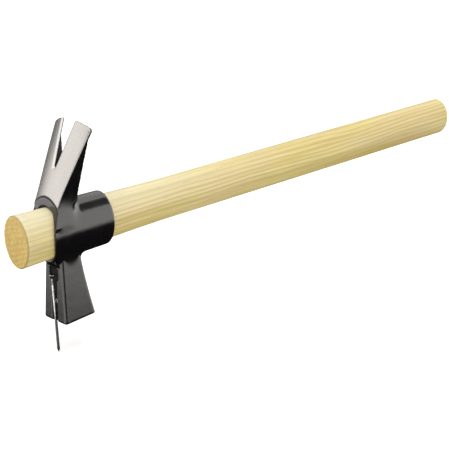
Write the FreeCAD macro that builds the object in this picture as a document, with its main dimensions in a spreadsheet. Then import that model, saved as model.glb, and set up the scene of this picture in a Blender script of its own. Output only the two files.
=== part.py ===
"""A carpenter's formwork claw hammer with a loaded nail starter, as a parametric FreeCAD document.

Frame, in millimetres: the origin lies on the handle's axis, above the middle of the striking block.
+X runs along the handle toward the grip end, +Z toward the claw tips, and the tool is symmetric about Y = 0.
"""
import FreeCAD, Part
import math
import os
import sys

import Sketcher

DIMENSIONS = [
    # handle: an oval ash shaft, tallest at its front end, where it stands out of the head
    ("handle_length", 400.0, "end to end"),
    ("front_standout", 35.5, "from the origin to the front end"),
    ("flare_end", 52.0, "from the origin to the end of the tapered stretch"),
    ("grip_start", 75.0, "from the origin to the start of the nearly even grip"),
    ("front_half_height", 16.9, "half height at the front end"),
    ("flare_half_height", 14.1, "half height where the taper ends"),
    ("grip_start_half_height", 13.72, "half height where the grip starts"),
    ("grip_half_height", 13.5, "half height at the grip end"),
    ("oval_ratio", 0.75, "width over height of the handle and of the collar round it"),
    ("front_round", 1.2, "edge radius of the front end"),
    ("grip_round", 4.0, "edge radius of the grip end"),
    ("sawing_allowance", 0.1, "extra length at each end of the turned blank, sawn off flat"),
    # eye collar: an oval tube round the handle
    ("collar_blank_front", -22.0, "front end of the collar before its rim is faced"),
    ("collar_rear", 30.0, "rear end of the collar"),
    ("collar_front_half_height", 18.7, "outside, at the front end of the blank"),
    ("collar_rear_half_height", 17.6, "outside, at the rear end"),
    ("rim_forward", 13.3, "from the origin to the plane of the front rim, on the axis"),
    ("rim_lean", 3.7, "lean of that plane, its top toward the grip, in degrees"),
    ("cheek_forward", 16.3, "from the origin to the front of the rounded cheeks beside the eye"),
    ("cheek_radius", 33.0, "radius of the cheeks, seen from the side"),
    ("cheek_level", -1.5, "level of the foremost line of the cheeks"),
    ("mouth_depth", 7.0, "from the origin to the throat of the eye's flared mouth"),
    ("mouth_flare", 1.5, "angle by which the mouth opens more than the wood's taper, in degrees"),
    ("mouth_lift", 0.7, "by how much the mouth is higher than the wood"),
    ("collar_rear_round", 2.0, "outer edge radius of the rear rim"),
    # striking block: a square peg that flares toward its face
    ("block_top", -10.0, "level of the upper section, hidden inside the collar"),
    ("block_top_front", -9.4, "front of the upper section"),
    ("block_top_back", 4.9, "back of the upper section"),
    ("block_top_half_width", 8.3, "half width of the upper section"),
    ("block_waist", -32.0, "level of the middle section"),
    ("block_waist_front", -10.9, "front of the middle section"),
    ("block_waist_back", 7.1, "back of the middle section"),
    ("block_waist_half_width", 10.0, "half width of the middle section"),
    ("block_low", -60.0, "level of the lower section, before the face is ground"),
    ("block_low_front", -12.7, "front of the lower section"),
    ("block_low_back", 12.1, "back of the lower section"),
    ("block_low_half_width", 12.0, "half width of the lower section"),
    ("block_corner_round", 2.2, "radius of the four upright corners"),
    ("block_blend", 2.0, "radius where the block leaves the collar"),
    ("face_depth", 57.0, "from the origin down to the striking face"),
    ("face_tilt", 3.8, "tilt of the striking face, its front edge lower, in degrees"),
    ("face_chamfer", 0.8, "chamfer round the striking face"),
    # claw: a straight split wedge, convex in front and hollow behind
    ("claw_root_height", 22.6, "height at which the claw's crown leaves the front rim"),
    ("claw_root_front", -11.74, "front of the crown at that height"),
    ("claw_front_lean", 25.4, "lean of the convex front, in degrees"),
    ("claw_front_radius", 36.0, "radius of the convex front"),
    ("claw_back_front", 2.46, "front of the hollow back at the reference height"),
    ("claw_back_height", 28.0, "reference height of the hollow back"),
    ("claw_back_lean", 8.0, "lean of the hollow back, in degrees"),
    ("claw_back_radius", 34.0, "radius of the hollow back"),
    ("claw_tip_thickness", 1.5, "least thickness, at the tips"),
    ("claw_foot_height", -2.0, "level of the claw outline's foot, inside the collar"),
    ("claw_foot_half_width", 12.8, "half width at the foot"),
    ("claw_hip_height", 6.0, "level of the widest section of the claw's root"),
    ("claw_hip_half_width", 13.9, "half width there"),
    ("claw_waist_height", 19.5, "level of the narrowest section"),
    ("claw_waist_half_width", 11.5, "half width there"),
    ("claw_corner_height", 62.5, "level of the outer tip corners"),
    ("claw_corner_half_width", 18.3, "half width there"),
    ("claw_crown_height", 67.5, "height of the arched tip line at the middle"),
    ("claw_corner_round", 2.5, "radius of the outer tip corners"),
    ("claw_waist_round", 40.0, "radius of the waist"),
    ("slot_height", 39.4, "level of the bottom of the nail slot"),
    ("slot_bottom_width", 1.4, "width of the nail slot at its bottom"),
    ("slot_mouth_width", 12.0, "width of the nail slot at the crown height"),
    ("slot_bevel_across", 1.2, "bevel of the slot's front edges, measured across the front"),
    ("slot_bevel_deep", 0.6, "the same bevel, measured into the slot"),
    # nail starter in the front of the block
    ("groove_width", 6.0, "width of the nail groove at the block's front"),
    ("groove_depth", 1.8, "depth of the nail groove"),
    ("recess_width", 8.8, "width of the recess round the nail's head"),
    ("recess_top", -22.6, "ceiling of the recess, which drives the nail"),
    ("recess_height", 8.0, "height of the recess"),
    ("recess_round", 2.0, "corner radius of the recess"),
    ("magnet_level", -45.0, "height of the magnet"),
    ("magnet_diameter", 4.0, "diameter of the magnet"),
    ("magnet_length", 4.0, "length of the magnet"),
    # nail
    ("nail_forward", 11.7, "from the origin forward to the nail's axis"),
    ("nail_top", -27.0, "top of the nail's head"),
    ("nail_length", 52.0, "overall"),
    ("nail_diameter", 1.8, "shank"),
    ("nail_head_diameter", 4.0, "head"),
    ("nail_head_thickness", 0.7, "head rim"),
    ("nail_point_length", 2.8, "point"),
    ("nail_air_gap", 0.05, "between the shank and the magnet"),
]

# Lengths of cutting blocks and cylinders that only have to reach past the metal that they cut.
REACH = 80.0
SHORT_REACH = 15.0

# How near a point must be to a level to count as lying on it.
SNAP = 0.02

# The seam round the block's root stays within this height of the collar's lowest line.
SEAM_RISE = 5.0

# Least volume that a pocket must take away, in cubic millimetres.
LEAST_CUT = 1.0

doc = FreeCAD.newDocument("formwork_hammer")


def make_sheet():
    """The driving dimensions, one row each: name, value (with that name as alias), meaning."""
    sheet = doc.addObject("Spreadsheet::Sheet", "dims")
    for row, (alias, value, meaning) in enumerate(DIMENSIONS, start=1):
        sheet.set(f"A{row}", alias)
        sheet.set(f"B{row}", str(value))
        sheet.setAlias(f"B{row}", alias)
        sheet.set(f"C{row}", meaning)
    doc.recompute()
    return sheet


dims = make_sheet()


def add(kind, name, **bound):
    """A document object whose properties are bound to expressions of the sheet."""
    thing = doc.addObject(kind, name)
    bind(thing, **bound)
    return thing


def bind(thing, **bound):
    for path, expression in bound.items():
        thing.setExpression(path.replace("__", "."), expression)


def place(thing, x="0", y="0", z="0", turn=None, axis=(0, 1, 0)):
    """Bind a Placement: a position, and a turn in degrees about one axis."""
    thing.Placement = FreeCAD.Placement(FreeCAD.Vector(0, 0, 0), FreeCAD.Rotation(FreeCAD.Vector(*axis), 1.0))
    bind(thing, Placement__Base__x=x, Placement__Base__y=y, Placement__Base__z=z)
    if turn is None:
        thing.Placement.Rotation = FreeCAD.Rotation()
    else:
        thing.setExpression("Placement.Rotation.Angle", turn)


def make_body(name):
    return doc.addObject("PartDesign::Body", name)


def sketch_on(body, name, role, offset="0"):
    """A sketch on one of the body's own origin planes, moved along that plane's normal."""
    sketch = body.newObject("Sketcher::SketchObject", name)
    plane = [feature for feature in body.Origin.OriginFeatures if feature.Role == role][0]
    sketch.AttachmentSupport = [(plane, "")]
    sketch.MapMode = "FlatFace"
    sketch.setExpression("AttachmentOffset.Base.z", offset)
    return sketch


def name_datum(sketch, constraint, label, expression):
    """Name a dimensional constraint and drive it from the sheet."""
    sketch.renameConstraint(constraint, label)
    sketch.setExpression(f"Constraints.{label}", expression)


def polygon(sketch, corners):
    """A closed outline of straight lines.

    A corner is (label, x expression, y expression, rough x, rough y).
    """
    points = [FreeCAD.Vector(corner[3], corner[4], 0) for corner in corners]
    count = len(points)
    for index in range(count):
        sketch.addGeometry(Part.LineSegment(points[index], points[(index + 1) % count]), False)
    for index in range(count):
        sketch.addConstraint(Sketcher.Constraint("Coincident", index, 2, (index + 1) % count, 1))
    for index, (label, x_expression, y_expression, x, y) in enumerate(corners):
        across = sketch.addConstraint(Sketcher.Constraint("DistanceX", -1, 1, index, 1, x))
        name_datum(sketch, across, f"{label}_x", x_expression)
        up = sketch.addConstraint(Sketcher.Constraint("DistanceY", -1, 1, index, 1, y))
        name_datum(sketch, up, f"{label}_y", y_expression)


def value(alias):
    return float(getattr(dims, alias))


def loft(body, name, sections, ruled):
    feature = body.newObject("PartDesign::AdditiveLoft", name)
    feature.Profile = sections[0]
    feature.Sections = sections[1:]
    feature.Ruled = ruled
    doc.recompute()
    return feature


def round_edges(body, name, base, wanted, radius):
    """A PartDesign fillet on the edges of a feature that satisfy a test."""
    edges = [f"Edge{i}" for i, edge in enumerate(base.Shape.Edges, start=1) if wanted(edge)]
    feature = body.newObject("PartDesign::Fillet", name)
    feature.Base = (base, edges)
    feature.setExpression("Radius", radius)
    doc.recompute()
    return feature


def spans(edge, axis):
    """The lowest and highest coordinate of an edge along X, Y or Z."""
    box = edge.BoundBox
    return {"x": (box.XMin, box.XMax), "y": (box.YMin, box.YMax), "z": (box.ZMin, box.ZMax)}[axis]


def lies_at(edge, axis, level):
    low, high = spans(edge, axis)
    return abs(low - level) < SNAP and abs(high - level) < SNAP


def turned(name, half_profile):
    """A body turned about the X axis from a half profile on the XZ plane."""
    body = make_body(name)
    profile = sketch_on(body, f"{name}_profile", "XZ_Plane")
    polygon(profile, half_profile)
    spin = body.newObject("PartDesign::Revolution", f"{name}_spin")
    spin.Profile = profile
    spin.ReferenceAxis = (profile, ["H_Axis"])
    spin.Angle = 360.0
    doc.recompute()
    return body, spin


def oval_from(name, round_body):
    """The turned body narrowed across Y, which gives every section the same oval: no feature does this."""
    narrow = FreeCAD.Matrix()
    narrow.scale(1.0, value("oval_ratio"), 1.0)
    piece = doc.addObject("Part::Feature", name)
    piece.Label = name
    piece.Shape = round_body.Shape.transformGeometry(narrow)
    piece.Placement = FreeCAD.Placement()
    return piece


def make_handle():
    """Ash handle: one straight taper from the front end through the eye, then a nearly even oval grip."""
    front_x = "-dims.front_standout - dims.sawing_allowance"
    grip_x = "dims.handle_length - dims.front_standout + dims.sawing_allowance"
    body, spin = turned("handle_turned", [
        ("front_axis", front_x, "0", -35, 0),
        ("front_edge", front_x, "dims.front_half_height", -35, 17),
        ("flare_end", "dims.flare_end", "dims.flare_half_height", 52, 14),
        ("grip_start", "dims.grip_start", "dims.grip_start_half_height", 75, 14),
        ("grip_edge", grip_x, "dims.grip_half_height", 365, 13),
        ("grip_axis", grip_x, "0", 365, 0),
    ])
    front = -value("front_standout") - value("sawing_allowance")
    grip = value("handle_length") - value("front_standout") + value("sawing_allowance")
    eased = round_edges(body, "front_easing", spin, lambda edge: lies_at(edge, "x", front),
                        "dims.front_round")
    round_edges(body, "grip_easing", eased, lambda edge: lies_at(edge, "x", grip),
                "dims.grip_round")
    span = add("Part::Box", "sawn_length", Length="dims.handle_length", Width=str(REACH), Height=str(REACH))
    place(span, x="-dims.front_standout", y=f"-{REACH} / 2", z=f"-{REACH} / 2")
    sawn = boolean("Part::Common", "handle", oval_from("handle_blank", body), span)
    sawn.Label = "handle"
    return sawn


def make_collar_blank():
    """Oval blank of the eye, still solid, longer at the front than its faced rim."""
    body, spin = turned("collar_turned", [
        ("front_axis", "dims.collar_blank_front", "0", -22, 0),
        ("front_edge", "dims.collar_blank_front", "dims.collar_front_half_height", -22, 19),
        ("rear_edge", "dims.collar_rear", "dims.collar_rear_half_height", 30, 17),
        ("rear_axis", "dims.collar_rear", "0", 30, 0),
    ])
    rear = value("collar_rear")
    round_edges(body, "collar_rear_easing", spin, lambda edge: lies_at(edge, "x", rear),
                "dims.collar_rear_round")
    return oval_from("collar_blank", body)


def block_section(body, level):
    """A rectangle across the block, at one of its three levels."""
    sketch = sketch_on(body, f"{level}_section", "XY_Plane", f"dims.{level}")
    front, back = f"dims.{level}_front", f"dims.{level}_back"
    side = f"dims.{level}_half_width"
    polygon(sketch, [
        ("front_right", front, f"-{side}", -5, -5),
        ("back_right", back, f"-{side}", 5, -5),
        ("back_left", back, side, 5, 5),
        ("front_left", front, side, -5, 5),
    ])
    return sketch


def make_block_blank():
    """Striking block: three rectangles, growing toward the face, with rounded upright corners."""
    body = make_body("block_blank")
    sections = [block_section(body, level) for level in ("block_top", "block_waist", "block_low")]
    shank = loft(body, "block_loft", sections, ruled=False)
    tall = value("block_top") - value("block_low")
    round_edges(body, "block_corners", shank, lambda edge: edge.BoundBox.ZLength > tall - SNAP,
                "dims.block_corner_round")
    return body


def make_claw_outline():
    """The claw seen from the front, as a thick plate: waist, flared sides, arched tip line and nail slot."""
    body = make_body("claw_outline")
    outline = sketch_on(body, "claw_front_view", "YZ_Plane")
    foot, hip, waist, corner = "dims.claw_foot", "dims.claw_hip", "dims.claw_waist", "dims.claw_corner"
    polygon(outline, [
        ("foot_right", f"-{foot}_half_width", f"{foot}_height", -13, -2),
        ("hip_right", f"-{hip}_half_width", f"{hip}_height", -14, 6),
        ("waist_right", f"-{waist}_half_width", f"{waist}_height", -11, 19),
        ("corner_right", f"-{corner}_half_width", f"{corner}_height", -18, 62),
        ("corner_left", f"{corner}_half_width", f"{corner}_height", 18, 62),
        ("waist_left", f"{waist}_half_width", f"{waist}_height", 11, 19),
        ("hip_left", f"{hip}_half_width", f"{hip}_height", 14, 6),
        ("foot_left", f"{foot}_half_width", f"{foot}_height", 13, -2),
    ])
    arch_over(outline, line=3, crown="dims.claw_crown_height", rough_crown=67)
    plate = body.newObject("PartDesign::Pad", "claw_plate")
    plate.Profile = outline
    plate.SideType = "Symmetric"
    plate.setExpression("Length", "2 * dims.front_standout")
    doc.recompute()
    waist_z = value("claw_waist_height")
    corner_z = value("claw_corner_height")
    waisted = round_edges(body, "claw_waist_blend", plate, lambda edge: lies_at(edge, "z", waist_z),
                          "dims.claw_waist_round")
    cornered = round_edges(body, "claw_corner_blend", waisted, lambda edge: lies_at(edge, "z", corner_z),
                           "dims.claw_corner_round")
    cut_slot(body, cornered)
    return body


def arch_over(sketch, line, crown, rough_crown):
    """Replace the level side of an outline with an arc over the sketch's upright axis."""
    right = sketch.Geometry[line].StartPoint
    rise = rough_crown - right.y
    radius = (right.x ** 2 + rise ** 2) / (2 * rise)
    half_angle = math.asin(abs(right.x) / radius)
    circle = Part.Circle(FreeCAD.Vector(0, rough_crown - radius, 0), FreeCAD.Vector(0, 0, 1), radius)
    quarter = math.pi / 2
    arc = sketch.addGeometry(Part.ArcOfCircle(circle, quarter - half_angle, quarter + half_angle), False)
    sketch.toggleConstruction(line)
    sketch.addConstraint(Sketcher.Constraint("Coincident", arc, 2, line, 1))
    sketch.addConstraint(Sketcher.Constraint("Coincident", arc, 1, line, 2))
    point = sketch.addGeometry(Part.Point(FreeCAD.Vector(0, rough_crown, 0)), True)
    sketch.addConstraint(Sketcher.Constraint("PointOnObject", point, 1, arc))
    sketch.addConstraint(Sketcher.Constraint("PointOnObject", point, 1, -2))
    peak = sketch.addConstraint(Sketcher.Constraint("DistanceY", -1, 1, point, 1, rough_crown))
    name_datum(sketch, peak, "crown", crown)


def cut_slot(body, base):
    """The V-shaped nail slot, flat at its bottom, cut through the plate from front to back."""
    sketch = sketch_on(body, "slot_front_view", "YZ_Plane")
    bottom = "dims.slot_bottom_width / 2"
    # The slot's sides run on, at the same angle, to a level as far above the tip line as the slot is deep.
    mouth = "(dims.slot_mouth_width - dims.slot_bottom_width / 2)"
    low = "dims.slot_height"
    high = "2 * dims.claw_crown_height - dims.slot_height"
    polygon(sketch, [
        ("bottom_right", f"-{bottom}", low, -1, 39),
        ("mouth_right", f"-{mouth}", high, -10, 95),
        ("mouth_left", mouth, high, 10, 95),
        ("bottom_left", bottom, low, 1, 39),
    ])
    slot = body.newObject("PartDesign::Pocket", "nail_slot")
    slot.Profile = sketch
    slot.SideType = "Symmetric"
    slot.setExpression("Length", "2 * dims.front_standout")
    doc.recompute()
    if slot.Shape.Volume > base.Shape.Volume - LEAST_CUT:
        sys.exit("the nail slot cut nothing")


def leaning_cylinder(name, crown_x, crown_z, lean, radius, shell="0"):
    """A long cylinder whose frontmost line passes through (crown_x, 0, crown_z), its top leaning back.

    A shell thickness makes it that much smaller about the same axis.
    """
    cylinder = add("Part::Cylinder", name, Radius=f"{radius} - {shell}", Height=str(2 * REACH))
    place(cylinder, turn=lean,
          x=f"{crown_x} + {radius} * cos({lean}) - {REACH} * sin({lean})",
          z=f"{crown_z} - {radius} * sin({lean}) - {REACH} * cos({lean})")
    return cylinder


def boolean(kind, name, base, tool):
    """Part::Cut or Part::Common of two objects."""
    result = doc.addObject(kind, name)
    result.Base = base
    result.Tool = tool
    return result


def make_claw_blank():
    """The claw: its outline, kept only between the convex front and the hollow back."""
    lean = "dims.claw_front_lean * 1 deg"
    front = leaning_cylinder("claw_front", "dims.claw_root_front", "dims.claw_root_height", lean,
                             "dims.claw_front_radius")
    land = leaning_cylinder("claw_tip_land", "dims.claw_root_front", "dims.claw_root_height", lean,
                            "dims.claw_front_radius", shell="dims.claw_tip_thickness")
    # The thin land keeps the front's axis, so it lies inside the front by the tip's thickness all round.
    back = leaning_cylinder("claw_back", "dims.claw_back_front", "dims.claw_back_height",
                            "dims.claw_back_lean * 1 deg", "dims.claw_back_radius")
    hollow = boolean("Part::Common", "claw_hollow", back, land)
    wedge = boolean("Part::Cut", "claw_wedge", front, hollow)
    split = boolean("Part::Common", "split_claw", make_claw_outline(), wedge)

    def on_slot_front(point, edge):
        beside = abs(point.y) < value("slot_mouth_width") / 2
        long = edge.Length > value("claw_crown_height") - value("slot_height")
        side = long and point.z > value("slot_height")
        bottom = abs(point.y) < SNAP and abs(point.z - value("slot_height")) < SNAP and point.x < 0.0
        return beside and (side or bottom)

    return soften("Part::Chamfer", "claw_blank", split, on_slot_front, "slot_bevel_across", "slot_bevel_deep")


def fuse(name, shapes):
    result = doc.addObject("Part::MultiFuse", name)
    result.Shapes = shapes
    result.Refine = True
    return result


def make_rim_cutter():
    """What is faced off in front of the rim: all before a leaning plane, except the rounded cheeks."""
    box = add("Part::Box", "rim_box", Length=str(REACH), Width=str(REACH), Height=str(REACH))
    lean = "dims.rim_lean * 1 deg"
    place(box, turn=lean, y=f"-{REACH} / 2",
          x=f"-dims.rim_forward - {REACH} * cos({lean}) - {REACH} / 2 * sin({lean})",
          z=f"{REACH} * sin({lean}) - {REACH} / 2 * cos({lean})")
    cheeks = add("Part::Cylinder", "rim_cheeks", Radius="dims.cheek_radius", Height=str(REACH))
    place(cheeks, turn="90", axis=(1, 0, 0), x="dims.cheek_radius - dims.cheek_forward",
          y=f"{REACH} / 2", z="dims.cheek_level")
    return boolean("Part::Cut", "rim_cutter", box, cheeks)


def make_face_cutter():
    """A block below the tilted striking face."""
    box = add("Part::Box", "face_cutter", Length=str(REACH), Width=str(REACH), Height=str(REACH))
    tilt = "-dims.face_tilt * 1 deg"
    place(box, turn=tilt, y=f"-{REACH} / 2",
          x=f"-{REACH} / 2 * cos({tilt}) - {REACH} * sin({tilt})",
          z=f"-dims.face_depth + {REACH} / 2 * sin({tilt}) - {REACH} * cos({tilt})")
    return box


def make_forging():
    """The solid head before its openings: collar, block and claw in one, faced at the rim and the block."""
    blank = fuse("head_blank", [make_collar_blank(), make_block_blank(), make_claw_blank()])
    cutters = fuse("facing_cutters", [make_rim_cutter(), make_face_cutter()])
    return boolean("Part::Cut", "faced_blank", blank, cutters)


def middle(edge):
    return edge.valueAt((edge.FirstParameter + edge.LastParameter) / 2)


def soften(kind, name, base, wanted, size, second_size=None):
    """A Part::Fillet or Part::Chamfer on the edges whose middle point satisfies a test."""
    doc.recompute()
    chosen = [i for i, edge in enumerate(base.Shape.Edges, start=1) if wanted(middle(edge), edge)]
    result = doc.addObject(kind, name)
    result.Base = base
    result.Edges = [(i, value(size), value(second_size or size)) for i in chosen]
    doc.recompute()
    if not chosen or result.Shape.isNull() or not result.Shape.isValid():
        sys.exit(f"{name} failed on {len(chosen)} edges")
    return result


def make_softened_forging():
    """The forging with its seams blended and its rims and face eased."""
    collar_bottom = -value("collar_front_half_height")
    face_level = -value("face_depth") + value("face_chamfer")

    def on_block_seam(point, edge):
        lengthwise = value("block_waist_front") < point.x < value("block_waist_back")
        level = collar_bottom < point.z < collar_bottom + SEAM_RISE
        return lengthwise and level and edge.BoundBox.ZLength < SEAM_RISE

    def on_face(point, edge):
        return point.z < face_level

    shape = soften("Part::Fillet", "block_seam", make_forging(), on_block_seam, "block_blend")
    shape = soften("Part::Chamfer", "face_edge", shape, on_face, "face_chamfer")
    return shape


def make_groove_cutters():
    """Nail starter: a round-bottomed groove down the block's front, and a recess round the nail's head."""
    lean = "atan((dims.block_waist_front - dims.block_low_front) / (dims.block_waist - dims.block_low))"
    slope = f"tan({lean})"
    groove = add("Part::Cylinder", "groove_cutter",
                 Height="dims.recess_top - dims.recess_height / 2 - dims.block_low",
                 Radius="(dims.groove_width ^ 2 / 4 + dims.groove_depth ^ 2) / (2 * dims.groove_depth)")
    # The groove's axis stands forward of the block's front by its radius less its depth.
    place(groove, turn=lean,
          x="dims.block_low_front + dims.groove_depth - groove_cutter.Radius / 1 mm",
          z="dims.block_low")
    recess = add("Part::Box", "recess_blank", Length=str(SHORT_REACH), Width="dims.recess_width",
                 Height="dims.recess_height")
    floor = f"(dims.block_waist_front + dims.groove_depth + {slope} * (dims.recess_top - dims.block_waist))"
    place(recess, turn=lean, y="-dims.recess_width / 2",
          x=f"{floor} - {SHORT_REACH}", z="dims.recess_top - dims.recess_height")

    def runs_deep(point, edge):
        return edge.BoundBox.XLength > value("recess_width")

    rounded = soften("Part::Fillet", "recess_cutter", recess, runs_deep, "recess_round")
    return [groove, rounded]


def magnet_cylinder(name, reach_forward):
    """A cylinder along X whose rear end is the bottom of the magnet's blind hole."""
    front = "(-dims.nail_forward + dims.nail_diameter / 2 + dims.nail_air_gap)"
    cylinder = add("Part::Cylinder", name, Radius="dims.magnet_diameter / 2",
                   Height=f"dims.magnet_length + {reach_forward}")
    place(cylinder, turn="90", x=f"{front} - {reach_forward}", z="dims.magnet_level")
    return cylinder


def make_mouth_cutter():
    """The oval cone that flares the front of the eye, so that its rim stands clear of the wood."""
    taper = "(dims.front_half_height - dims.flare_half_height) / (dims.flare_end + dims.front_standout)"
    throat = f"(dims.flare_half_height + {taper} * (dims.flare_end + dims.mouth_depth))"
    opening = f"({taper} + tan(dims.mouth_flare * 1 deg))"
    mouth = f"({throat} + (dims.front_standout - dims.mouth_depth) * {opening})"
    body, spin = turned("mouth_turned", [
        ("front_axis", "-dims.front_standout", "0", -35, 0),
        ("front_edge", "-dims.front_standout", mouth, -35, 22),
        ("throat_edge", "-dims.mouth_depth", throat, -9, 16),
        ("throat_axis", "-dims.mouth_depth", "0", -9, 0),
    ])
    cutter = oval_from("mouth_cutter", body)
    place(cutter, z="dims.mouth_lift")
    return cutter


def make_head(handle):
    """The finished head: the forging bored by the handle's own taper, with its nail starter cut in."""
    openings = make_groove_cutters() + [magnet_cylinder("magnet_hole", reach_forward=SHORT_REACH),
                                        make_mouth_cutter()]
    bored = boolean("Part::Cut", "bored_forging", make_softened_forging(), handle)
    head = boolean("Part::Cut", "head", bored, fuse("opening_cutters", openings))
    head.Label = "head"
    return head


def make_magnet():
    """Disc magnet, pressed into the groove's floor, its face a hair clear of the nail's shank."""
    magnet = magnet_cylinder("nail_magnet", reach_forward=0)
    magnet.Label = "nail_magnet"
    return magnet


def make_nail():
    """Wire nail: flat head with a short cone under it, shank and conical point."""
    body = make_body("nail")
    body.Label = "nail"
    profile = sketch_on(body, "nail_profile", "XZ_Plane")
    shank = "dims.nail_diameter / 2"
    rim = "dims.nail_head_diameter / 2"
    polygon(profile, [
        ("top_axis", "0", "0", 0, 0),
        ("top_rim", rim, "0", 2, 0),
        ("under_rim", rim, "-dims.nail_head_thickness", 2, -1),
        ("neck", shank, "-2 * dims.nail_head_thickness", 1, -2),
        ("point_start", shank, "-dims.nail_length + dims.nail_point_length", 1, -49),
        ("tip", "0", "-dims.nail_length", 0, -52),
    ])
    spin = body.newObject("PartDesign::Revolution", "nail_spin")
    spin.Profile = profile
    spin.ReferenceAxis = (profile, ["V_Axis"])
    spin.Angle = 360.0
    place(body, x="-dims.nail_forward", z="dims.nail_top")
    return body


def check_and_write(pieces):
    """Stop on any failed object or bad shape, then write one STEP file for each piece."""
    doc.recompute()
    for thing in doc.Objects:
        if "Invalid" in thing.State or "Error" in thing.State:
            sys.exit(f"{thing.Name} failed: {thing.State}")
    for piece in pieces:
        if piece.Shape.isNull() or not piece.Shape.isValid() or len(piece.Shape.Solids) != 1:
            sys.exit(f"{piece.Label} is not one valid solid")
    os.makedirs("parts", exist_ok=True)
    for piece in pieces:
        piece.Shape.exportStep(f"parts/{piece.Label}.step")
        print(piece.Label, round(piece.Shape.Volume, 1))


handle = make_handle()
check_and_write([handle, make_head(handle), make_magnet(), make_nail()])
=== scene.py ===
"""A carpenter's formwork claw hammer with a loaded nail, dressed for a studio picture.

Everything is in metres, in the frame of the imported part: the origin lies on the handle's axis above the
middle of the striking block, +X runs toward the grip end and +Z toward the claw tips.
"""
import math

import bpy
import numpy as np
from mathutils import Matrix, Vector


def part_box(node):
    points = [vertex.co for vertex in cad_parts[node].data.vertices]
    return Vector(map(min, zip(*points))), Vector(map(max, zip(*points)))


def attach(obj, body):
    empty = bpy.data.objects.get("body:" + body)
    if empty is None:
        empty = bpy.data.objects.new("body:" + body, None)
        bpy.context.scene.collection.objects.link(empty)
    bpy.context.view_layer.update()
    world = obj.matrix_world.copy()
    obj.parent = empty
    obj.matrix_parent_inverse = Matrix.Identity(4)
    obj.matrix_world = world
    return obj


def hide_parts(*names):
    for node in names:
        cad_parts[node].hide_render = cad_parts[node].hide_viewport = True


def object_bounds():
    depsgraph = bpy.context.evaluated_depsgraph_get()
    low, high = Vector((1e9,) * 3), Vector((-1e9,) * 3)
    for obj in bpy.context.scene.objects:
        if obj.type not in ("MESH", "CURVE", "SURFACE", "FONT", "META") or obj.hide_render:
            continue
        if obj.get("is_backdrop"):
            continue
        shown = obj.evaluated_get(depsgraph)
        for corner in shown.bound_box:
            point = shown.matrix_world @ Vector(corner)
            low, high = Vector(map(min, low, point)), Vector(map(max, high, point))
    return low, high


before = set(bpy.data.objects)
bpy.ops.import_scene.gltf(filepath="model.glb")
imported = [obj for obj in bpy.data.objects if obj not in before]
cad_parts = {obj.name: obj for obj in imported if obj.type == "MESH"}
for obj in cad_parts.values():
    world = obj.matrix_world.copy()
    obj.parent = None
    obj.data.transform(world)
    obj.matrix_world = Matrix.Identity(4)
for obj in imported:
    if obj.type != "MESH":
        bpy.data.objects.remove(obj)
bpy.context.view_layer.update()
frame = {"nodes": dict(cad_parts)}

MM = 0.001

# Camera: where it stands, how it is turned, and its lens.
CAMERA_PLACE = Vector((-0.4307, -0.6311, 0.2525))
CAMERA_AZIMUTH = -41.73
CAMERA_ELEVATION = 18.57
CAMERA_ROLL = -2.48
CAMERA_LENS = 104.2
CAMERA_SENSOR = 36.0
CAMERA_NEAREST = 0.01

# Head: the forging is remeshed finely, then its hollow seams are filled into soft blends.
VOXEL = 0.40 * MM
ALL_OVER_PASSES = 3
HIP_PASSES = 1000
SEAM_PASSES = 90
SEAM_ROUNDS = 18
SEAM_STEP = 0.02 * MM
WEIGHT_LEVELS = 10

# Head: the surfaces that the bands below are measured from. The leans are in degrees.
COLLAR_HALF = 18.235 * MM
COLLAR_TAPER = 0.0212
RIM_FRONT = -13.3 * MM
RIM_LEAN = 3.7
CLAW_LEAN = 25.4
BLOCK_FRONT = -8.84 * MM
BLOCK_FRONT_SLOPE = 0.0643

# Bands across which an effect comes in: there is none of it at the first value and all of it at the second.
# The seams are filled from the block's root to the claw's root, clear of the eye and of the nail groove.
SEAM_BOTTOM = (-40.0 * MM, -36.0 * MM)
SEAM_TOP = (30.0 * MM, 26.0 * MM)
SEAM_BACK = (26.0 * MM, 20.0 * MM)
OUT_FROM_WOOD = (1.0 * MM, 1.9 * MM)
BEHIND_GROOVE = (-9.6 * MM, -7.6 * MM)
BESIDE_GROOVE = (5.2 * MM, 6.6 * MM)
ABOVE_GROOVE = (-21.8 * MM, -20.0 * MM)

# The hips of the claw's root are worn where they stand proud of the collar's sides, behind the rim.
HIP_PROUD = (0.0, 0.15 * MM)
HIP_BOTTOM = (-8.0 * MM, -5.0 * MM)
HIP_TOP = (20.0 * MM, 14.0 * MM)
HIP_SIDE = (5.0 * MM, 7.0 * MM)
HIP_FRONT = (-12.5 * MM, -9.5 * MM)

# The claw's front is ground bright, up from its root and back from the rim; its slot's bevel gets a painted
# highlight, nearly white.
CLAW_FACING = (0.35, 0.55)
CLAW_BOTTOM = (12.0 * MM, 13.0 * MM)
POLISH_FRONT = (0.35 * MM, 0.75 * MM)
BEVEL_FACING = (0.10, 0.25)

# The thin edge of the rim, the slot's walls and the nail groove are dull.
EDGE_FRONT = (0.08 * MM, 0.25 * MM)
EDGE_BACK = (0.9 * MM, 0.5 * MM)
WALL_FACING = (0.6, 0.8)
WALL_BOTTOM = (37.0 * MM, 39.0 * MM)
WALL_SIDE = (8.5 * MM, 8.0 * MM)
GROOVE_START = (0.25 * MM, 0.6 * MM)
GROOVE_FLOOR = (4.0 * MM, 3.0 * MM)
GROOVE_SIDE = (4.9 * MM, 4.5 * MM)
GROOVE_TOP = (-21.0 * MM, -22.0 * MM)

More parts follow.
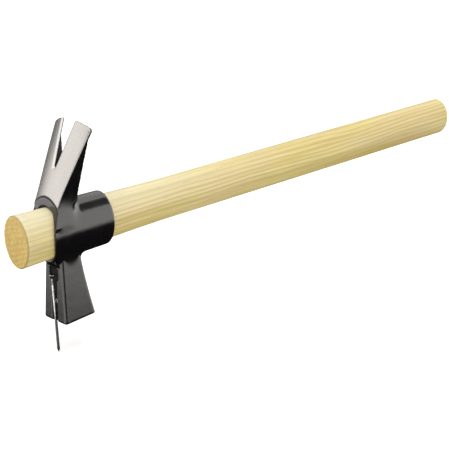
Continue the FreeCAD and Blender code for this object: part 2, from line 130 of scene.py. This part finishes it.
# Handle: half heights at distances from its front end; the oval's width comes from its box.
HANDLE_STATIONS = [(87.5 * MM, 14.1 * MM), (110.5 * MM, 13.72 * MM)]
GRIP_END_HALF_HEIGHT = 13.5 * MM
FRONT_ROUND = 1.2 * MM
GRIP_ROUND = 4.0 * MM
HANDLE_SIDES = 144
END_EDGE_LENGTH = (1.3 * MM, 0.7 * MM)
END_EDGE_DEPTH = (1.0 * MM, 0.5 * MM)

# Wood: the spacing of the growth rings, how far they wander and how steeply they tilt across the handle.
RING_SPACING = 3.0 * MM
RING_WANDER = 9.0 * MM
RING_TILT = 0.35

# Nail and magnet.
WIRE_RADIUS = 0.9 * MM
NAIL_SIDES = 48
GRIP_RINGS = 5
GRIP_RING_START = 2.4
GRIP_RING_SPACING = 0.9
POINT_WIDTH = 0.85
MAGNET_SIDES = 64

# Colours as they look on a screen, 0 to 255.
LACQUER_DARK = (9, 8, 9)
LACQUER_LIGHT = (19, 17, 18)
LACQUER_RUBBED = (120, 116, 110)
STEEL_SHADE = (218, 213, 209)
STEEL_LIGHT = (235, 231, 228)
STEEL_LINE = (188, 184, 178)
STEEL_BEVEL_HIGHLIGHT = (255, 254, 252)
ASH_STREAK = (214, 192, 108)
ASH_PALE = (240, 224, 154)
ASH_BLUSH = (230, 204, 164)
ASH_RING = (198, 176, 100)
ASH_PAINTED_SHEEN = (246, 242, 222)
ASH_PORE = (170, 144, 84)
END_GRAIN_DARK = (222, 184, 94)
END_GRAIN_LIGHT = (238, 212, 128)
END_GRAIN_RING = (214, 158, 80)
END_GRAIN_DOT = (158, 116, 52)
END_EDGE_SHADE = (150, 116, 56)
WIRE_BRIGHT = (206, 204, 204)
WIRE_TARNISH = (150, 146, 144)
WIRE_LOW_END_SHADE = (70, 68, 68)
WIRE_LINE = (120, 118, 118)
NICKEL = (208, 204, 194)
NICKEL_SCUFF = (150, 144, 134)
FLOOR_DARK = (250, 250, 250)
FLOOR_LIGHT = (253, 253, 253)
WHITE = (255, 255, 255)
ROOM_WHITE = (255, 253, 250)

# Studio: the floor, the area lights (place, side length, power in watts), and what the lacquer and steel
# mirror. Each zone has the direction of its middle, then how closely a direction points there where the zone
# starts and where it is full (1 is straight at it), then how bright it is when full, against 1 outside it.
FLOOR_REACH = 4.0
FLOOR_GAP = 0.2 * MM
FLOOR_GLOW = 0.45
LIGHTS = {
    "key": ((-0.35, -0.45, 1.25), 1.0, 9.1),
    "top": ((0.2, 0.3, 1.4), 1.4, 6.5),
}
MIRRORED_ZONES = {
    "dark_panel": ((0.63, -0.38, 0.68), 0.945, 0.98, 0.10),
    "right_side": ((0.75, -0.6, 0.25), 0.2, 0.9, 2.3),
    "far_side": ((0.35, 0.93, -0.15), 0.46, 0.98, 0.18),
    "near_corner": ((-0.85, -0.35, 0.39), 0.93, 0.99, 0.38),
    "low_left": ((-0.6, 0.6, -0.5), 0.78, 0.95, 2.4),
    "corner_light": ((-0.966, -0.214, -0.15), 0.93, 0.985, 2.2),
    "corner_dark": ((-0.32, -0.94, -0.15), 0.92, 0.985, 0.1),
}
LOW_GLOW = ((-0.95, 0.1, -0.30), 0.95, 0.99, 2.5)


# ---------------------------------------------------------------- small tools

def smoothstep(value, low, high):
    """0 below low, 1 above high, and a smooth rise between; low above high gives a fall."""
    share = np.clip((value - low) / (high - low), 0.0, 1.0)
    return share * share * (3.0 - 2.0 * share)


def new_object(name, data):
    thing = bpy.data.objects.new(name, data)
    bpy.context.scene.collection.objects.link(thing)
    return thing


def mesh_from(name, points, faces):
    mesh = bpy.data.meshes.new(name)
    mesh.from_pydata([tuple(point) for point in points], [], faces)
    mesh.update()
    mesh.shade_smooth()
    return mesh


def rings_to_faces(count, around):
    """Quads between following rings, with a fan at each end: the first and the last point are the tips."""
    faces = []
    for side in range(around):
        following = (side + 1) % around
        faces.append((0, 1 + following, 1 + side))
        for ring in range(count - 1):
            low = 1 + ring * around
            high = low + around
            faces.append((low + side, low + following, high + following, high + side))
        last = 1 + (count - 1) * around
        faces.append((last + side, last + following, 1 + count * around))
    return faces


def quarter_round(corner_along, corner_out, radius, steps, opening):
    """Points of a rounded corner as (along, out), at the front (opening) or at the end of a profile."""
    points = []
    for step in range(steps + 1):
        turn = math.pi / 2 * step / steps
        inset = radius * (1.0 - math.sin(turn))
        out = corner_out - radius * (1.0 - math.cos(turn))
        if opening:
            points.insert(0, (corner_along + inset, out))
        else:
            points.append((corner_along - inset, out))
    return points


def evaluated_copy(thing, name):
    """The object's mesh with its modifiers applied, as a new mesh."""
    graph = bpy.context.evaluated_depsgraph_get()
    graph.update()
    mesh = bpy.data.meshes.new_from_object(thing.evaluated_get(graph))
    mesh.name = name
    return mesh


def vertex_values(mesh, kind):
    """One row of three numbers for each vertex: its place (co) or its normal."""
    flat = np.empty(len(mesh.vertices) * 3)
    mesh.vertices.foreach_get(kind, flat)
    return flat.reshape(-1, 3)


def paint_value(mesh, name, values):
    attribute = mesh.attributes.new(name, "FLOAT", "POINT")
    attribute.data.foreach_set("value", values.astype(np.float32))


def handle_oval():
    """The corners of the handle's box, and how wide its oval section is for its height."""
    low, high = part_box("handle")
    return low, high, (high.y - low.y) / (high.z - low.z)


def dress(thing, body, node, material):
    """Give a finished piece its material, the body it rides on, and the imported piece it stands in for."""
    thing.data.materials.clear()
    thing.data.materials.append(material)
    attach(thing, body)
    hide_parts(node)


# ---------------------------------------------------------------- node tools

class Nodes:
    """A short way to write a node tree: add a node, set its inputs, link them."""

    def __init__(self, tree):
        self.tree = tree
        tree.nodes.clear()

    def add(self, kind, inputs=None, **settings):
        node = self.tree.nodes.new(kind)
        for name, setting in settings.items():
            setattr(node, name, setting)
        self.feed(node, inputs or {})
        return node

    def feed(self, node, inputs):
        """Link or set each named or numbered input of a node."""
        for name, source in inputs.items():
            if isinstance(source, bpy.types.NodeSocket):
                self.tree.links.new(source, node.inputs[name])
            else:
                node.inputs[name].default_value = source

    def math(self, operation, first, second=0.0, clamp=False):
        node = self.add("ShaderNodeMath", {0: first, 1: second}, operation=operation, use_clamp=clamp)
        return node.outputs[0]

    def ramp(self, value, low, high, to_low=0.0, to_high=1.0):
        """A smooth change from to_low to to_high while value goes from low to high."""
        inputs = {"Value": value, "From Min": low, "From Max": high, "To Min": to_low, "To Max": to_high}
        node = self.add("ShaderNodeMapRange", inputs, interpolation_type="SMOOTHSTEP")
        return node.outputs["Result"]

    def mix(self, share, first, second):
        """A colour between two others."""
        return self.add("ShaderNodeMix", {0: share, 6: first, 7: second}, data_type="RGBA").outputs[2]

    def between(self, share, first, second):
        """A number between two others."""
        return self.add("ShaderNodeMix", {0: share, 2: first, 3: second}, data_type="FLOAT").outputs[0]

    def noise(self, place, scale=1.0, detail=4.0, roughness=0.55):
        inputs = {"Vector": place, "Scale": scale, "Detail": detail, "Roughness": roughness}
        return self.add("ShaderNodeTexNoise", inputs).outputs["Fac"]

    def stretched(self, place, across):
        """The place scaled by a different amount along each axis, to draw a pattern out."""
        return self.add("ShaderNodeMapping", {"Vector": place, "Scale": across}).outputs["Vector"]

    def along(self, vector):
        """A vector's three parts, as the outputs X, Y and Z."""
        return self.add("ShaderNodeSeparateXYZ", {"Vector": vector}).outputs

    def painted(self, name):
        """The value painted on the mesh under this name."""
        return self.add("ShaderNodeAttribute", attribute_name=name).outputs["Fac"]

    def bump(self, height, strength, distance, under=None):
        inputs = {"Height": height, "Strength": strength, "Distance": distance}
        if under is not None:
            inputs["Normal"] = under
        return self.add("ShaderNodeBump", inputs).outputs["Normal"]


def start_material(name):
    material = bpy.data.materials.new(name)
    material.use_nodes = True
    nodes = Nodes(material.node_tree)
    place = nodes.add("ShaderNodeTexCoord").outputs["Object"]
    surface = nodes.add("ShaderNodeBsdfPrincipled")
    nodes.add("ShaderNodeOutputMaterial", {"Surface": surface.outputs["BSDF"]})
    return material, nodes, place, surface


def rgb(screen):
    """A colour given as it looks on a screen, as the linear colour that shaders take."""
    channels = []
    for channel in screen:
        share = channel / 255.0
        channels.append(share / 12.92 if share <= 0.04045 else ((share + 0.055) / 1.055) ** 2.4)
    return (*channels, 1.0)


# ---------------------------------------------------------------- materials

def lacquer_look(nodes, place, dull):
    """Near black lacquer, rubbed on its edges: its colour and its slightly uneven roughness."""
    cloud = nodes.noise(place, scale=90.0, detail=5.0)
    black = nodes.mix(cloud, rgb(LACQUER_DARK), rgb(LACQUER_LIGHT))
    worn_edge = nodes.add("ShaderNodeNewGeometry").outputs["Pointiness"]
    patches = nodes.ramp(nodes.noise(place, scale=420.0), 0.42, 0.62)
    rub = nodes.math("MULTIPLY", nodes.ramp(worn_edge, 0.53, 0.60), patches)
    colour = nodes.mix(nodes.math("MULTIPLY", rub, 0.5), black, rgb(LACQUER_RUBBED))
    rough = nodes.ramp(cloud, 0.3, 0.7, 0.12, 0.20)
    return colour, nodes.math("ADD", rough, nodes.math("MULTIPLY", dull, 0.6))


def ground_steel_look(nodes, place, bevel_highlight):
    """Bright steel with grinding lines along the claw, and a painted highlight on the slot's bevel: its
    colour, its roughness and the lines.
    """
    lines = nodes.noise(nodes.stretched(place, (900.0, 1500.0, 60.0)), roughness=0.7)
    broad = nodes.noise(nodes.stretched(place, (120.0, 160.0, 16.0)), detail=3.0)
    steel = nodes.mix(broad, rgb(STEEL_SHADE), rgb(STEEL_LIGHT))
    marks = nodes.math("MULTIPLY", nodes.ramp(lines, 0.35, 0.65), 0.15)
    steel = nodes.mix(marks, steel, rgb(STEEL_LINE))
    # the slot's bevel is painted nearly white, as a painted highlight
    return nodes.mix(bevel_highlight, steel, rgb(STEEL_BEVEL_HIGHLIGHT)), nodes.ramp(lines, 0.3, 0.7, 0.20, 0.34), lines


def head_material():
    """One forging: black lacquer, and a ground bright front of the claw where the polish value says so, with a
    painted highlight on the slot's bevel.
    """
    material, nodes, place, surface = start_material("lacquered_forging")
    polish, dull, bevel_highlight = (nodes.painted(name) for name in ("polish", "dull", "bevel_highlight"))
    lacquer, lacquer_rough = lacquer_look(nodes, place, dull)
    steel, steel_rough, lines = ground_steel_look(nodes, place, bevel_highlight)
    coated = nodes.math("SUBTRACT", 1.0, polish)
    glossy = nodes.math("SUBTRACT", coated, dull, clamp=True)

    # the soft swell and dimples of a scaled forging, with the grinding lines on the bright part
    rolling = nodes.bump(nodes.noise(place, scale=45.0, detail=2.0), 0.25, 0.6 * MM)
    dimples = nodes.math("MULTIPLY", nodes.noise(place, scale=260.0, detail=3.0), coated)
    dimpled = nodes.bump(dimples, 0.35, 0.12 * MM, rolling)
    nodes.feed(surface, {
        "Base Color": nodes.mix(polish, lacquer, steel),
        "Metallic": polish,
        "Roughness": nodes.between(polish, lacquer_rough, steel_rough),
        "Coat Weight": nodes.math("MULTIPLY", glossy, 0.5),
        "Coat Roughness": 0.14,
        "Normal": nodes.bump(nodes.math("MULTIPLY", lines, polish), 0.08, 0.02 * MM, dimpled),
    })
    return material


def growth_rings(nodes, place):
    """Rings as planes that run along the handle, tilted across it, gently wandering, and strong in places."""
    axes = nodes.along(place)
    wander = nodes.noise(nodes.stretched(place, (6.0, 30.0, 30.0)), detail=2.0)
    across = nodes.math("ADD", axes["Z"], nodes.math("MULTIPLY", axes["Y"], RING_TILT))
    across = nodes.math("ADD", across, nodes.math("MULTIPLY", wander, RING_WANDER))
    wave = nodes.math("SINE", nodes.math("MULTIPLY", across, 2.0 * math.pi / RING_SPACING))
    strength = nodes.noise(nodes.stretched(place, (4.0, 60.0, 60.0)))
    strength = nodes.ramp(strength, 0.35, 0.65, 0.35, 1.0)
    return nodes.math("MULTIPLY", nodes.ramp(wave, -0.2, 1.0), strength)


def long_grain(nodes, place, facing, ring, streaks, pores):
    """The colour of the handle's sides: streaks, a blush, rings and pores, with a painted sheen that makes it
    paler on top near the head.
    """
    wood = nodes.mix(nodes.ramp(streaks, 0.32, 0.68), rgb(ASH_STREAK), rgb(ASH_PALE))
    blush = nodes.noise(nodes.stretched(place, (10.0, 50.0, 50.0)), detail=2.0)
    blush = nodes.math("MULTIPLY", nodes.ramp(blush, 0.45, 0.65), 0.40)
    wood = nodes.mix(blush, wood, rgb(ASH_BLUSH))
    wood = nodes.mix(nodes.math("MULTIPLY", ring, 0.62), wood, rgb(ASH_RING))
    # painted sheen: paler where the handle faces up, fading away from the head
    near_front = nodes.ramp(nodes.along(place)["X"], 220.0 * MM, -30.0 * MM)
    painted_sheen = nodes.math("MULTIPLY", near_front, nodes.ramp(facing["Z"], -0.3, 0.9))
    wood = nodes.mix(nodes.math("MULTIPLY", painted_sheen, 0.55), wood, rgb(ASH_PAINTED_SHEEN))
    return nodes.mix(nodes.math("MULTIPLY", pores, 0.30), wood, rgb(ASH_PORE))


def cut_grain(nodes, place, ring):
    """The colour of the handle's ends: flecks, rings and the dots of cut pores."""
    flecks = nodes.noise(nodes.stretched(place, (300.0, 1100.0, 260.0)))
    end = nodes.mix(nodes.ramp(flecks, 0.3, 0.7), rgb(END_GRAIN_DARK), rgb(END_GRAIN_LIGHT))
    end = nodes.mix(nodes.math("MULTIPLY", ring, 0.45), end, rgb(END_GRAIN_RING))
    dots = nodes.noise(nodes.stretched(place, (200.0, 1500.0, 1500.0)), detail=3.0, roughness=0.7)
    dots = nodes.math("MULTIPLY", nodes.ramp(dots, 0.52, 0.68), 0.45)
    return nodes.mix(dots, end, rgb(END_GRAIN_DOT))


def ash_material():
    """Pale ash: growth rings cut lengthwise, fine pores drawn along the grain, and darker end grain; a painted
    sheen on top near the head and painted shade on the front end's edge.
    """
    material, nodes, place, surface = start_material("pale_ash")
    facing = nodes.along(nodes.add("ShaderNodeNewGeometry").outputs["Normal"])
    end_grain = nodes.ramp(nodes.math("ABSOLUTE", facing["X"]), 0.70, 0.95)
    ring = growth_rings(nodes, place)
    dashes = nodes.noise(nodes.stretched(place, (60.0, 1800.0, 1800.0)), detail=3.0, roughness=0.7)
    pores = nodes.ramp(dashes, 0.58, 0.70)
    streaks = nodes.noise(nodes.stretched(place, (9.0, 260.0, 260.0)), roughness=0.6)

    sides = long_grain(nodes, place, facing, ring, streaks, pores)
    whole = nodes.mix(end_grain, sides, cut_grain(nodes, place, ring))
    # painted shade darkening the edge round the front end
    end_edge_shade = nodes.math("MULTIPLY", nodes.painted("rim"), 0.6)
    grain = nodes.bump(nodes.math("SUBTRACT", streaks, pores), 0.35, 0.10 * MM)
    nodes.feed(surface, {
        "Base Color": nodes.mix(end_edge_shade, whole, rgb(END_EDGE_SHADE)),
        "Roughness": nodes.ramp(streaks, 0.2, 0.8, 0.42, 0.58),
        "Coat Weight": 0.25,
        "Coat Roughness": 0.35,
        "Normal": nodes.bump(ring, 0.25, 0.12 * MM, grain),
    })
    return material


def nail_material():
    """Bright drawn wire, tarnished in places, with drawing lines along it and a painted shade that darkens its
    low end.
    """
    material, nodes, place, surface = start_material("bright_wire")
    lines = nodes.noise(nodes.stretched(place, (2600.0, 2600.0, 70.0)), roughness=0.7)
    tarnish = nodes.ramp(nodes.noise(place, scale=320.0), 0.45, 0.7)
    # painted shade: the wire is darkened toward its low end
    low_end_shade = nodes.ramp(nodes.along(place)["Z"], -46.0 * MM, -60.0 * MM)
    steel = nodes.mix(tarnish, rgb(WIRE_BRIGHT), rgb(WIRE_TARNISH))
    steel = nodes.mix(low_end_shade, steel, rgb(WIRE_LOW_END_SHADE))
    nodes.feed(surface, {
        "Base Color": nodes.mix(nodes.math("MULTIPLY", lines, 0.3), steel, rgb(WIRE_LINE)),
        "Metallic": 1.0,
        "Roughness": nodes.ramp(lines, 0.3, 0.7, 0.12, 0.24),
        "Normal": nodes.bump(lines, 0.3, 0.03 * MM),
    })
    return material


def magnet_material():
    """Nickel plating, with fine scuffs where nails have rubbed it."""
    material, nodes, place, surface = start_material("nickel_plating")
    scuffs = nodes.noise(nodes.stretched(place, (300.0, 1400.0, 300.0)), detail=5.0, roughness=0.75)
    nodes.feed(surface, {
        "Base Color": nodes.mix(nodes.ramp(scuffs, 0.5, 0.72), rgb(NICKEL), rgb(NICKEL_SCUFF)),
        "Metallic": 1.0,
        "Roughness": nodes.ramp(scuffs, 0.3, 0.7, 0.12, 0.34),
        "Normal": nodes.bump(scuffs, 0.2, 0.03 * MM),
    })
    return material


# ---------------------------------------------------------------- pieces

def seam_weights(points):
    """Where the forging may be filled: round the roots of the claw and the block, but not in the eye."""
    x, y, z = points.T
    low, high, oval = handle_oval()
    flare_along, flare_half = HANDLE_STATIONS[0]
    wood_half = high.z + (flare_half - high.z) * (x - low.x) / flare_along
    from_wood = np.hypot(y / oval, z) - wood_half
    level = smoothstep(z, *SEAM_BOTTOM) * smoothstep(z, *SEAM_TOP)
    clear_of_groove = np.maximum.reduce([
        smoothstep(x, *BEHIND_GROOVE), smoothstep(np.abs(y), *BESIDE_GROOVE), smoothstep(z, *ABOVE_GROOVE)])
    return level * clear_of_groove * smoothstep(x, *SEAM_BACK) * smoothstep(from_wood, *OUT_FROM_WOOD)


def hip_weights(points):
    """Where the claw's broad root stands proud of the sides of the collar, behind the rim."""
    x, y, z = points.T
    oval = handle_oval()[2]
    proud = np.hypot(y / oval, z) - (COLLAR_HALF - COLLAR_TAPER * x)
    level = smoothstep(z, *HIP_BOTTOM) * smoothstep(z, *HIP_TOP)
    beside = smoothstep(np.abs(y), *HIP_SIDE)
    return smoothstep(proud, *HIP_PROUD) * level * beside * smoothstep(x, *HIP_FRONT)


def smoothed(thing, name, passes, weights=None):
    """The object's mesh after a number of smoothing passes, held back where the weights are low."""
    smooth = thing.modifiers.new(name, "SMOOTH")
    smooth.factor = 0.5
    smooth.iterations = passes
    if weights is not None:
        group = thing.vertex_groups.new(name=name)
        for level in range(1, WEIGHT_LEVELS + 1):
            share = level / WEIGHT_LEVELS
            members = np.nonzero(np.abs(weights - share) <= 0.5 / WEIGHT_LEVELS)[0]
            group.add(members.tolist(), share, "REPLACE")
        smooth.vertex_group = group.name
    mesh = evaluated_copy(thing, name)
    thing.modifiers.clear()
    thing.vertex_groups.clear()
    return mesh


def fill_seams(head):
    """Fill the seams where smoothing moves the surface outward; outer edges, which it would wear, stay."""
    for filling in range(SEAM_ROUNDS):
        points = vertex_values(head.data, "co")
        facing = vertex_values(head.data, "normal")
        relaxed = vertex_values(smoothed(head, "seam_blend", SEAM_PASSES, seam_weights(points)), "co")
        outward = np.sum((relaxed - points) * facing, axis=1)
        filled = smoothstep(outward, 0.0, SEAM_STEP)[:, None]
        head.data.vertices.foreach_set("co", (points + filled * (relaxed - points)).ravel())
        head.data.update()


def slot_walls(points, inward):
    """The unground side walls of the nail slot."""
    x, y, z = points.T
    level = smoothstep(z, *WALL_BOTTOM)
    return smoothstep(inward, *WALL_FACING) * level * smoothstep(np.abs(y), *WALL_SIDE)


def groove(points):
    """The sunk nail groove and the recess round the nail's head, below the block's leaning front."""
    x, y, z = points.T
    sunk = x - BLOCK_FRONT - z * BLOCK_FRONT_SLOPE
    inside = smoothstep(sunk, *GROOVE_START) * smoothstep(sunk, *GROOVE_FLOOR)
    return inside * smoothstep(np.abs(y), *GROOVE_SIDE) * smoothstep(z, *GROOVE_TOP)


def paint_finish(forging):
    """Mark where the forging is ground bright, where its slot's bevel gets a painted highlight, and where it
    is dull.
    """
    points = vertex_values(forging, "co")
    facing = vertex_values(forging, "normal")
    lean = math.radians(CLAW_LEAN)
    forward = facing @ np.array([-math.cos(lean), 0.0, math.sin(lean)])
    inward = -facing[:, 1] * np.sign(points[:, 1])
    behind_rim = points[:, 0] - RIM_FRONT - points[:, 2] * math.tan(math.radians(RIM_LEAN))
    claw_front = smoothstep(forward, *CLAW_FACING) * smoothstep(points[:, 2], *CLAW_BOTTOM)
    rim_edge = claw_front * smoothstep(behind_rim, *EDGE_FRONT) * smoothstep(behind_rim, *EDGE_BACK)
    paint_value(forging, "polish", claw_front * smoothstep(behind_rim, *POLISH_FRONT))
    # the slot's bevel, where the painted highlight goes
    paint_value(forging, "bevel_highlight", claw_front * smoothstep(inward, *BEVEL_FACING))
    paint_value(forging, "dull", np.maximum.reduce([rim_edge, slot_walls(points, inward), groove(points)]))


def make_head(frame):
    """The forging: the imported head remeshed, worn at its hips, filled at its seams, and given its finish."""
    rough = new_object("rough_forging", frame["nodes"]["head"].data.copy())
    remesh = rough.modifiers.new("even_mesh", "REMESH")
    remesh.mode = "VOXEL"
    remesh.voxel_size = VOXEL
    remesh.use_smooth_shade = True
    head = new_object("forged_head", evaluated_copy(rough, "even_forging"))
    bpy.data.objects.remove(rough)
    head.data = smoothed(head, "all_over", ALL_OVER_PASSES)
    head.data = smoothed(head, "worn_hips", HIP_PASSES, hip_weights(vertex_values(head.data, "co")))
    fill_seams(head)
    head.data = smoothed(head, "forged_head", ALL_OVER_PASSES)
    head.data.shade_smooth()
    paint_finish(head.data)
    dress(head, "hammer", "head", head_material())


def make_handle():
    """The oval ash handle, with an eased front end and a rounded grip end."""
    low, high, oval = handle_oval()
    profile = quarter_round(low.x, high.z, FRONT_ROUND, 6, opening=True)
    profile += [(low.x + along, half) for along, half in HANDLE_STATIONS]
    profile += quarter_round(high.x, GRIP_END_HALF_HEIGHT, GRIP_ROUND, 10, opening=False)
    points = [(low.x, 0.0, 0.0)]
    for along, half in profile:
        for side in range(HANDLE_SIDES):
            turn = 2.0 * math.pi * side / HANDLE_SIDES
            points.append((along, half * oval * math.cos(turn), half * math.sin(turn)))
    points.append((high.x, 0.0, 0.0))
    faces = rings_to_faces(len(profile), HANDLE_SIDES)
    handle = new_object("ash_handle", mesh_from("ash_handle", points, faces))

    # painted shade: the darker edge round the front end
    placed = vertex_values(handle.data, "co")
    out = np.hypot(placed[:, 1] / oval, placed[:, 2])
    near_end = smoothstep(placed[:, 0], *(low.x + length for length in END_EDGE_LENGTH))
    near_side = smoothstep(out, *(high.z - depth for depth in END_EDGE_DEPTH))
    paint_value(handle.data, "rim", near_end * near_side)
    dress(handle, "hammer", "handle", ash_material())


def nail_rows(head_radius, length):
    """The nail from its top down: distance below the top, radius, and how square the section is there."""
    rows = [
        (0.00 * MM, 0.80 * head_radius, 0.0), (0.06 * MM, 0.93 * head_radius, 0.0),
        (0.20 * MM, head_radius, 0.0), (0.50 * MM, head_radius, 0.0), (0.64 * MM, 0.95 * head_radius, 0.0),
        (0.95 * MM, 1.45 * WIRE_RADIUS, 0.0), (1.25 * MM, 1.12 * WIRE_RADIUS, 0.0),
        (1.60 * MM, WIRE_RADIUS, 0.0),
    ]
    for grip in range(GRIP_RINGS):
        start = (GRIP_RING_START + GRIP_RING_SPACING * grip) * MM
        rows += [
            (start, WIRE_RADIUS, 0.0), (start + 0.15 * MM, 0.90 * WIRE_RADIUS, 0.0),
            (start + 0.45 * MM, WIRE_RADIUS, 0.0),
        ]
    rows += [
        (length - 3.4 * MM, WIRE_RADIUS, 0.0), (length - 3.0 * MM, 1.10 * WIRE_RADIUS, 0.2),
        (length - 2.7 * MM, 1.05 * WIRE_RADIUS, 0.6), (length - 2.2 * MM, 0.82 * WIRE_RADIUS, 1.0),
        (length - 0.5 * MM, 0.20 * WIRE_RADIUS, 1.0),
    ]
    return rows


def make_nail():
    """The wire nail: a flat rounded head, grip rings under it, the shank, and a four-sided point."""
    low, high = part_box("nail")
    centre = (low + high) / 2
    rows = nail_rows((high.y - low.y) / 2, high.z - low.z)
    points = [(centre.x, centre.y, high.z)]
    for below, radius, square in rows:
        for side in range(NAIL_SIDES):
            turn = 2.0 * math.pi * side / NAIL_SIDES
            flat = POINT_WIDTH / max(abs(math.cos(turn)), abs(math.sin(turn)))
            reach = radius * (1.0 - square + square * flat)
            around_x, around_y = reach * math.cos(turn), reach * math.sin(turn)
            points.append((centre.x + around_x, centre.y - around_y, high.z - below))
    points.append((centre.x, centre.y, low.z))
    nail = new_object("wire_nail", mesh_from("wire_nail", points, rings_to_faces(len(rows), NAIL_SIDES)))
    dress(nail, "nail", "nail", nail_material())


def make_magnet():
    """The disc magnet, its rim chamfered and its face very slightly domed."""
    low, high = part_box("nail_magnet")
    centre = (low + high) / 2
    radius = (high.y - low.y) / 2
    length = high.x - low.x
    # each row: distance behind the front face, and radius
    rows = [
        (0.03 * MM, 0.5 * radius), (0.06 * MM, 0.84 * radius), (0.12 * MM, 0.90 * radius),
        (0.26 * MM, 0.97 * radius), (0.42 * MM, radius), (length - 0.2 * MM, radius), (length, 0.92 * radius),
    ]
    points = [(low.x, centre.y, centre.z)]
    for along, reach in rows:
        for side in range(MAGNET_SIDES):
            turn = 2.0 * math.pi * side / MAGNET_SIDES
            around_y, around_z = reach * math.cos(turn), reach * math.sin(turn)
            points.append((low.x + along, centre.y + around_y, centre.z + around_z))
    points.append((high.x, centre.y, centre.z))
    faces = rings_to_faces(len(rows), MAGNET_SIDES)
    magnet = new_object("disc_magnet", mesh_from("disc_magnet", points, faces))
    dress(magnet, "hammer", "nail_magnet", magnet_material())


# ---------------------------------------------------------------- studio

def make_floor():
    """A wide pale floor under the lowest point, a little brighter to the camera than its light makes it."""
    low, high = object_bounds()
    middle = (low + high) / 2
    corners = [(middle.x + sx * FLOOR_REACH, middle.y + sy * FLOOR_REACH, low.z - FLOOR_GAP)
               for sx, sy in ((-1, -1), (1, -1), (1, 1), (-1, 1))]
    floor = new_object("floor", mesh_from("floor", corners, [(0, 1, 2, 3)]))
    material, nodes, place, surface = start_material("pale_floor")
    mottle = nodes.noise(place, scale=18.0, detail=3.0)
    seen = nodes.add("ShaderNodeLightPath").outputs["Is Camera Ray"]
    nodes.feed(surface, {
        "Base Color": nodes.mix(mottle, rgb(FLOOR_DARK), rgb(FLOOR_LIGHT)),
        "Roughness": 0.9,
        "Specular IOR Level": 0.0,
        "Emission Color": rgb(WHITE),
        "Emission Strength": nodes.math("MULTIPLY", seen, FLOOR_GLOW),
    })
    floor.data.materials.append(material)
    floor.visible_glossy = False
    floor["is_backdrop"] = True


def zone(nodes, direction, middle, start, full, outside, inside):
    """A value that goes from outside to inside as a direction comes to point at the zone's middle."""
    aim = Vector(middle).normalized()
    toward = nodes.add("ShaderNodeVectorMath", {0: direction, 1: aim}, operation="DOT_PRODUCT")
    return nodes.ramp(toward.outputs["Value"], start, full, outside, inside)


def make_surroundings():
    """The room: even light for dull surfaces, bright and dark zones for mirroring ones, and white behind."""
    world = bpy.data.worlds.new("studio")
    bpy.context.scene.world = world
    world.use_nodes = True
    nodes = Nodes(world.node_tree)
    direction = nodes.add("ShaderNodeTexCoord").outputs["Generated"]
    height = nodes.along(direction)["Z"]
    mirrored = nodes.ramp(height, -0.36, -0.17, 0.01, 1.0)
    for middle, start, full, brightness in MIRRORED_ZONES.values():
        shade = zone(nodes, direction, middle, start, full, 1.0, brightness)
        mirrored = nodes.math("MULTIPLY", mirrored, shade)
    middle, start, full, brightness = LOW_GLOW
    glow = zone(nodes, direction, middle, start, full, 0.0, brightness)
    mirrored = nodes.math("MAXIMUM", mirrored, glow)
    even = nodes.ramp(height, -0.6, 0.7, 0.10, 0.55)
    path = nodes.add("ShaderNodeLightPath").outputs
    unseen = nodes.between(path["Is Glossy Ray"], even, mirrored)
    strength = nodes.between(path["Is Camera Ray"], unseen, 1.0)
    background = nodes.add("ShaderNodeBackground", {"Color": rgb(ROOM_WHITE), "Strength": strength})
    nodes.add("ShaderNodeOutputWorld", {"Surface": background.outputs["Background"]})


def make_lights():
    """Large soft area lights above the hammer, which light it without showing in its lacquer."""
    low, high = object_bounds()
    aim = (low + high) / 2
    for name, (place, size, power) in LIGHTS.items():
        light = bpy.data.lights.new(name, "AREA")
        light.shape = "SQUARE"
        light.size = size
        light.energy = power
        holder = new_object(name, light)
        holder.location = place
        holder.rotation_mode = "QUATERNION"
        holder.rotation_quaternion = (aim - Vector(place)).to_track_quat("-Z", "Y")
        holder.visible_glossy = False


def make_camera():
    """The camera, turned by its azimuth, elevation and roll; azimuth 0 looks along +Y."""
    azimuth = math.radians(CAMERA_AZIMUTH)
    elevation = math.radians(CAMERA_ELEVATION)
    back = Vector((math.sin(azimuth) * math.cos(elevation), -math.cos(azimuth) * math.cos(elevation),
                   math.sin(elevation)))
    right = Vector((0.0, 0.0, 1.0)).cross(back).normalized()
    up = back.cross(right)
    turned = Matrix((right, up, back)).transposed() @ Matrix.Rotation(math.radians(CAMERA_ROLL), 3, "Z")
    data = bpy.data.cameras.new("camera")
    data.sensor_width = CAMERA_SENSOR
    data.lens = CAMERA_LENS
    data.clip_start = CAMERA_NEAREST
    camera = new_object("camera", data)
    camera.rotation_mode = "QUATERNION"
    camera.location = CAMERA_PLACE
    camera.rotation_quaternion = turned.to_quaternion()
    bpy.context.scene.camera = camera


bpy.context.scene.view_settings.view_transform = "Standard"
make_head(frame)
make_handle()
make_nail()
make_magnet()
make_floor()
make_surroundings()
make_lights()
make_camera()
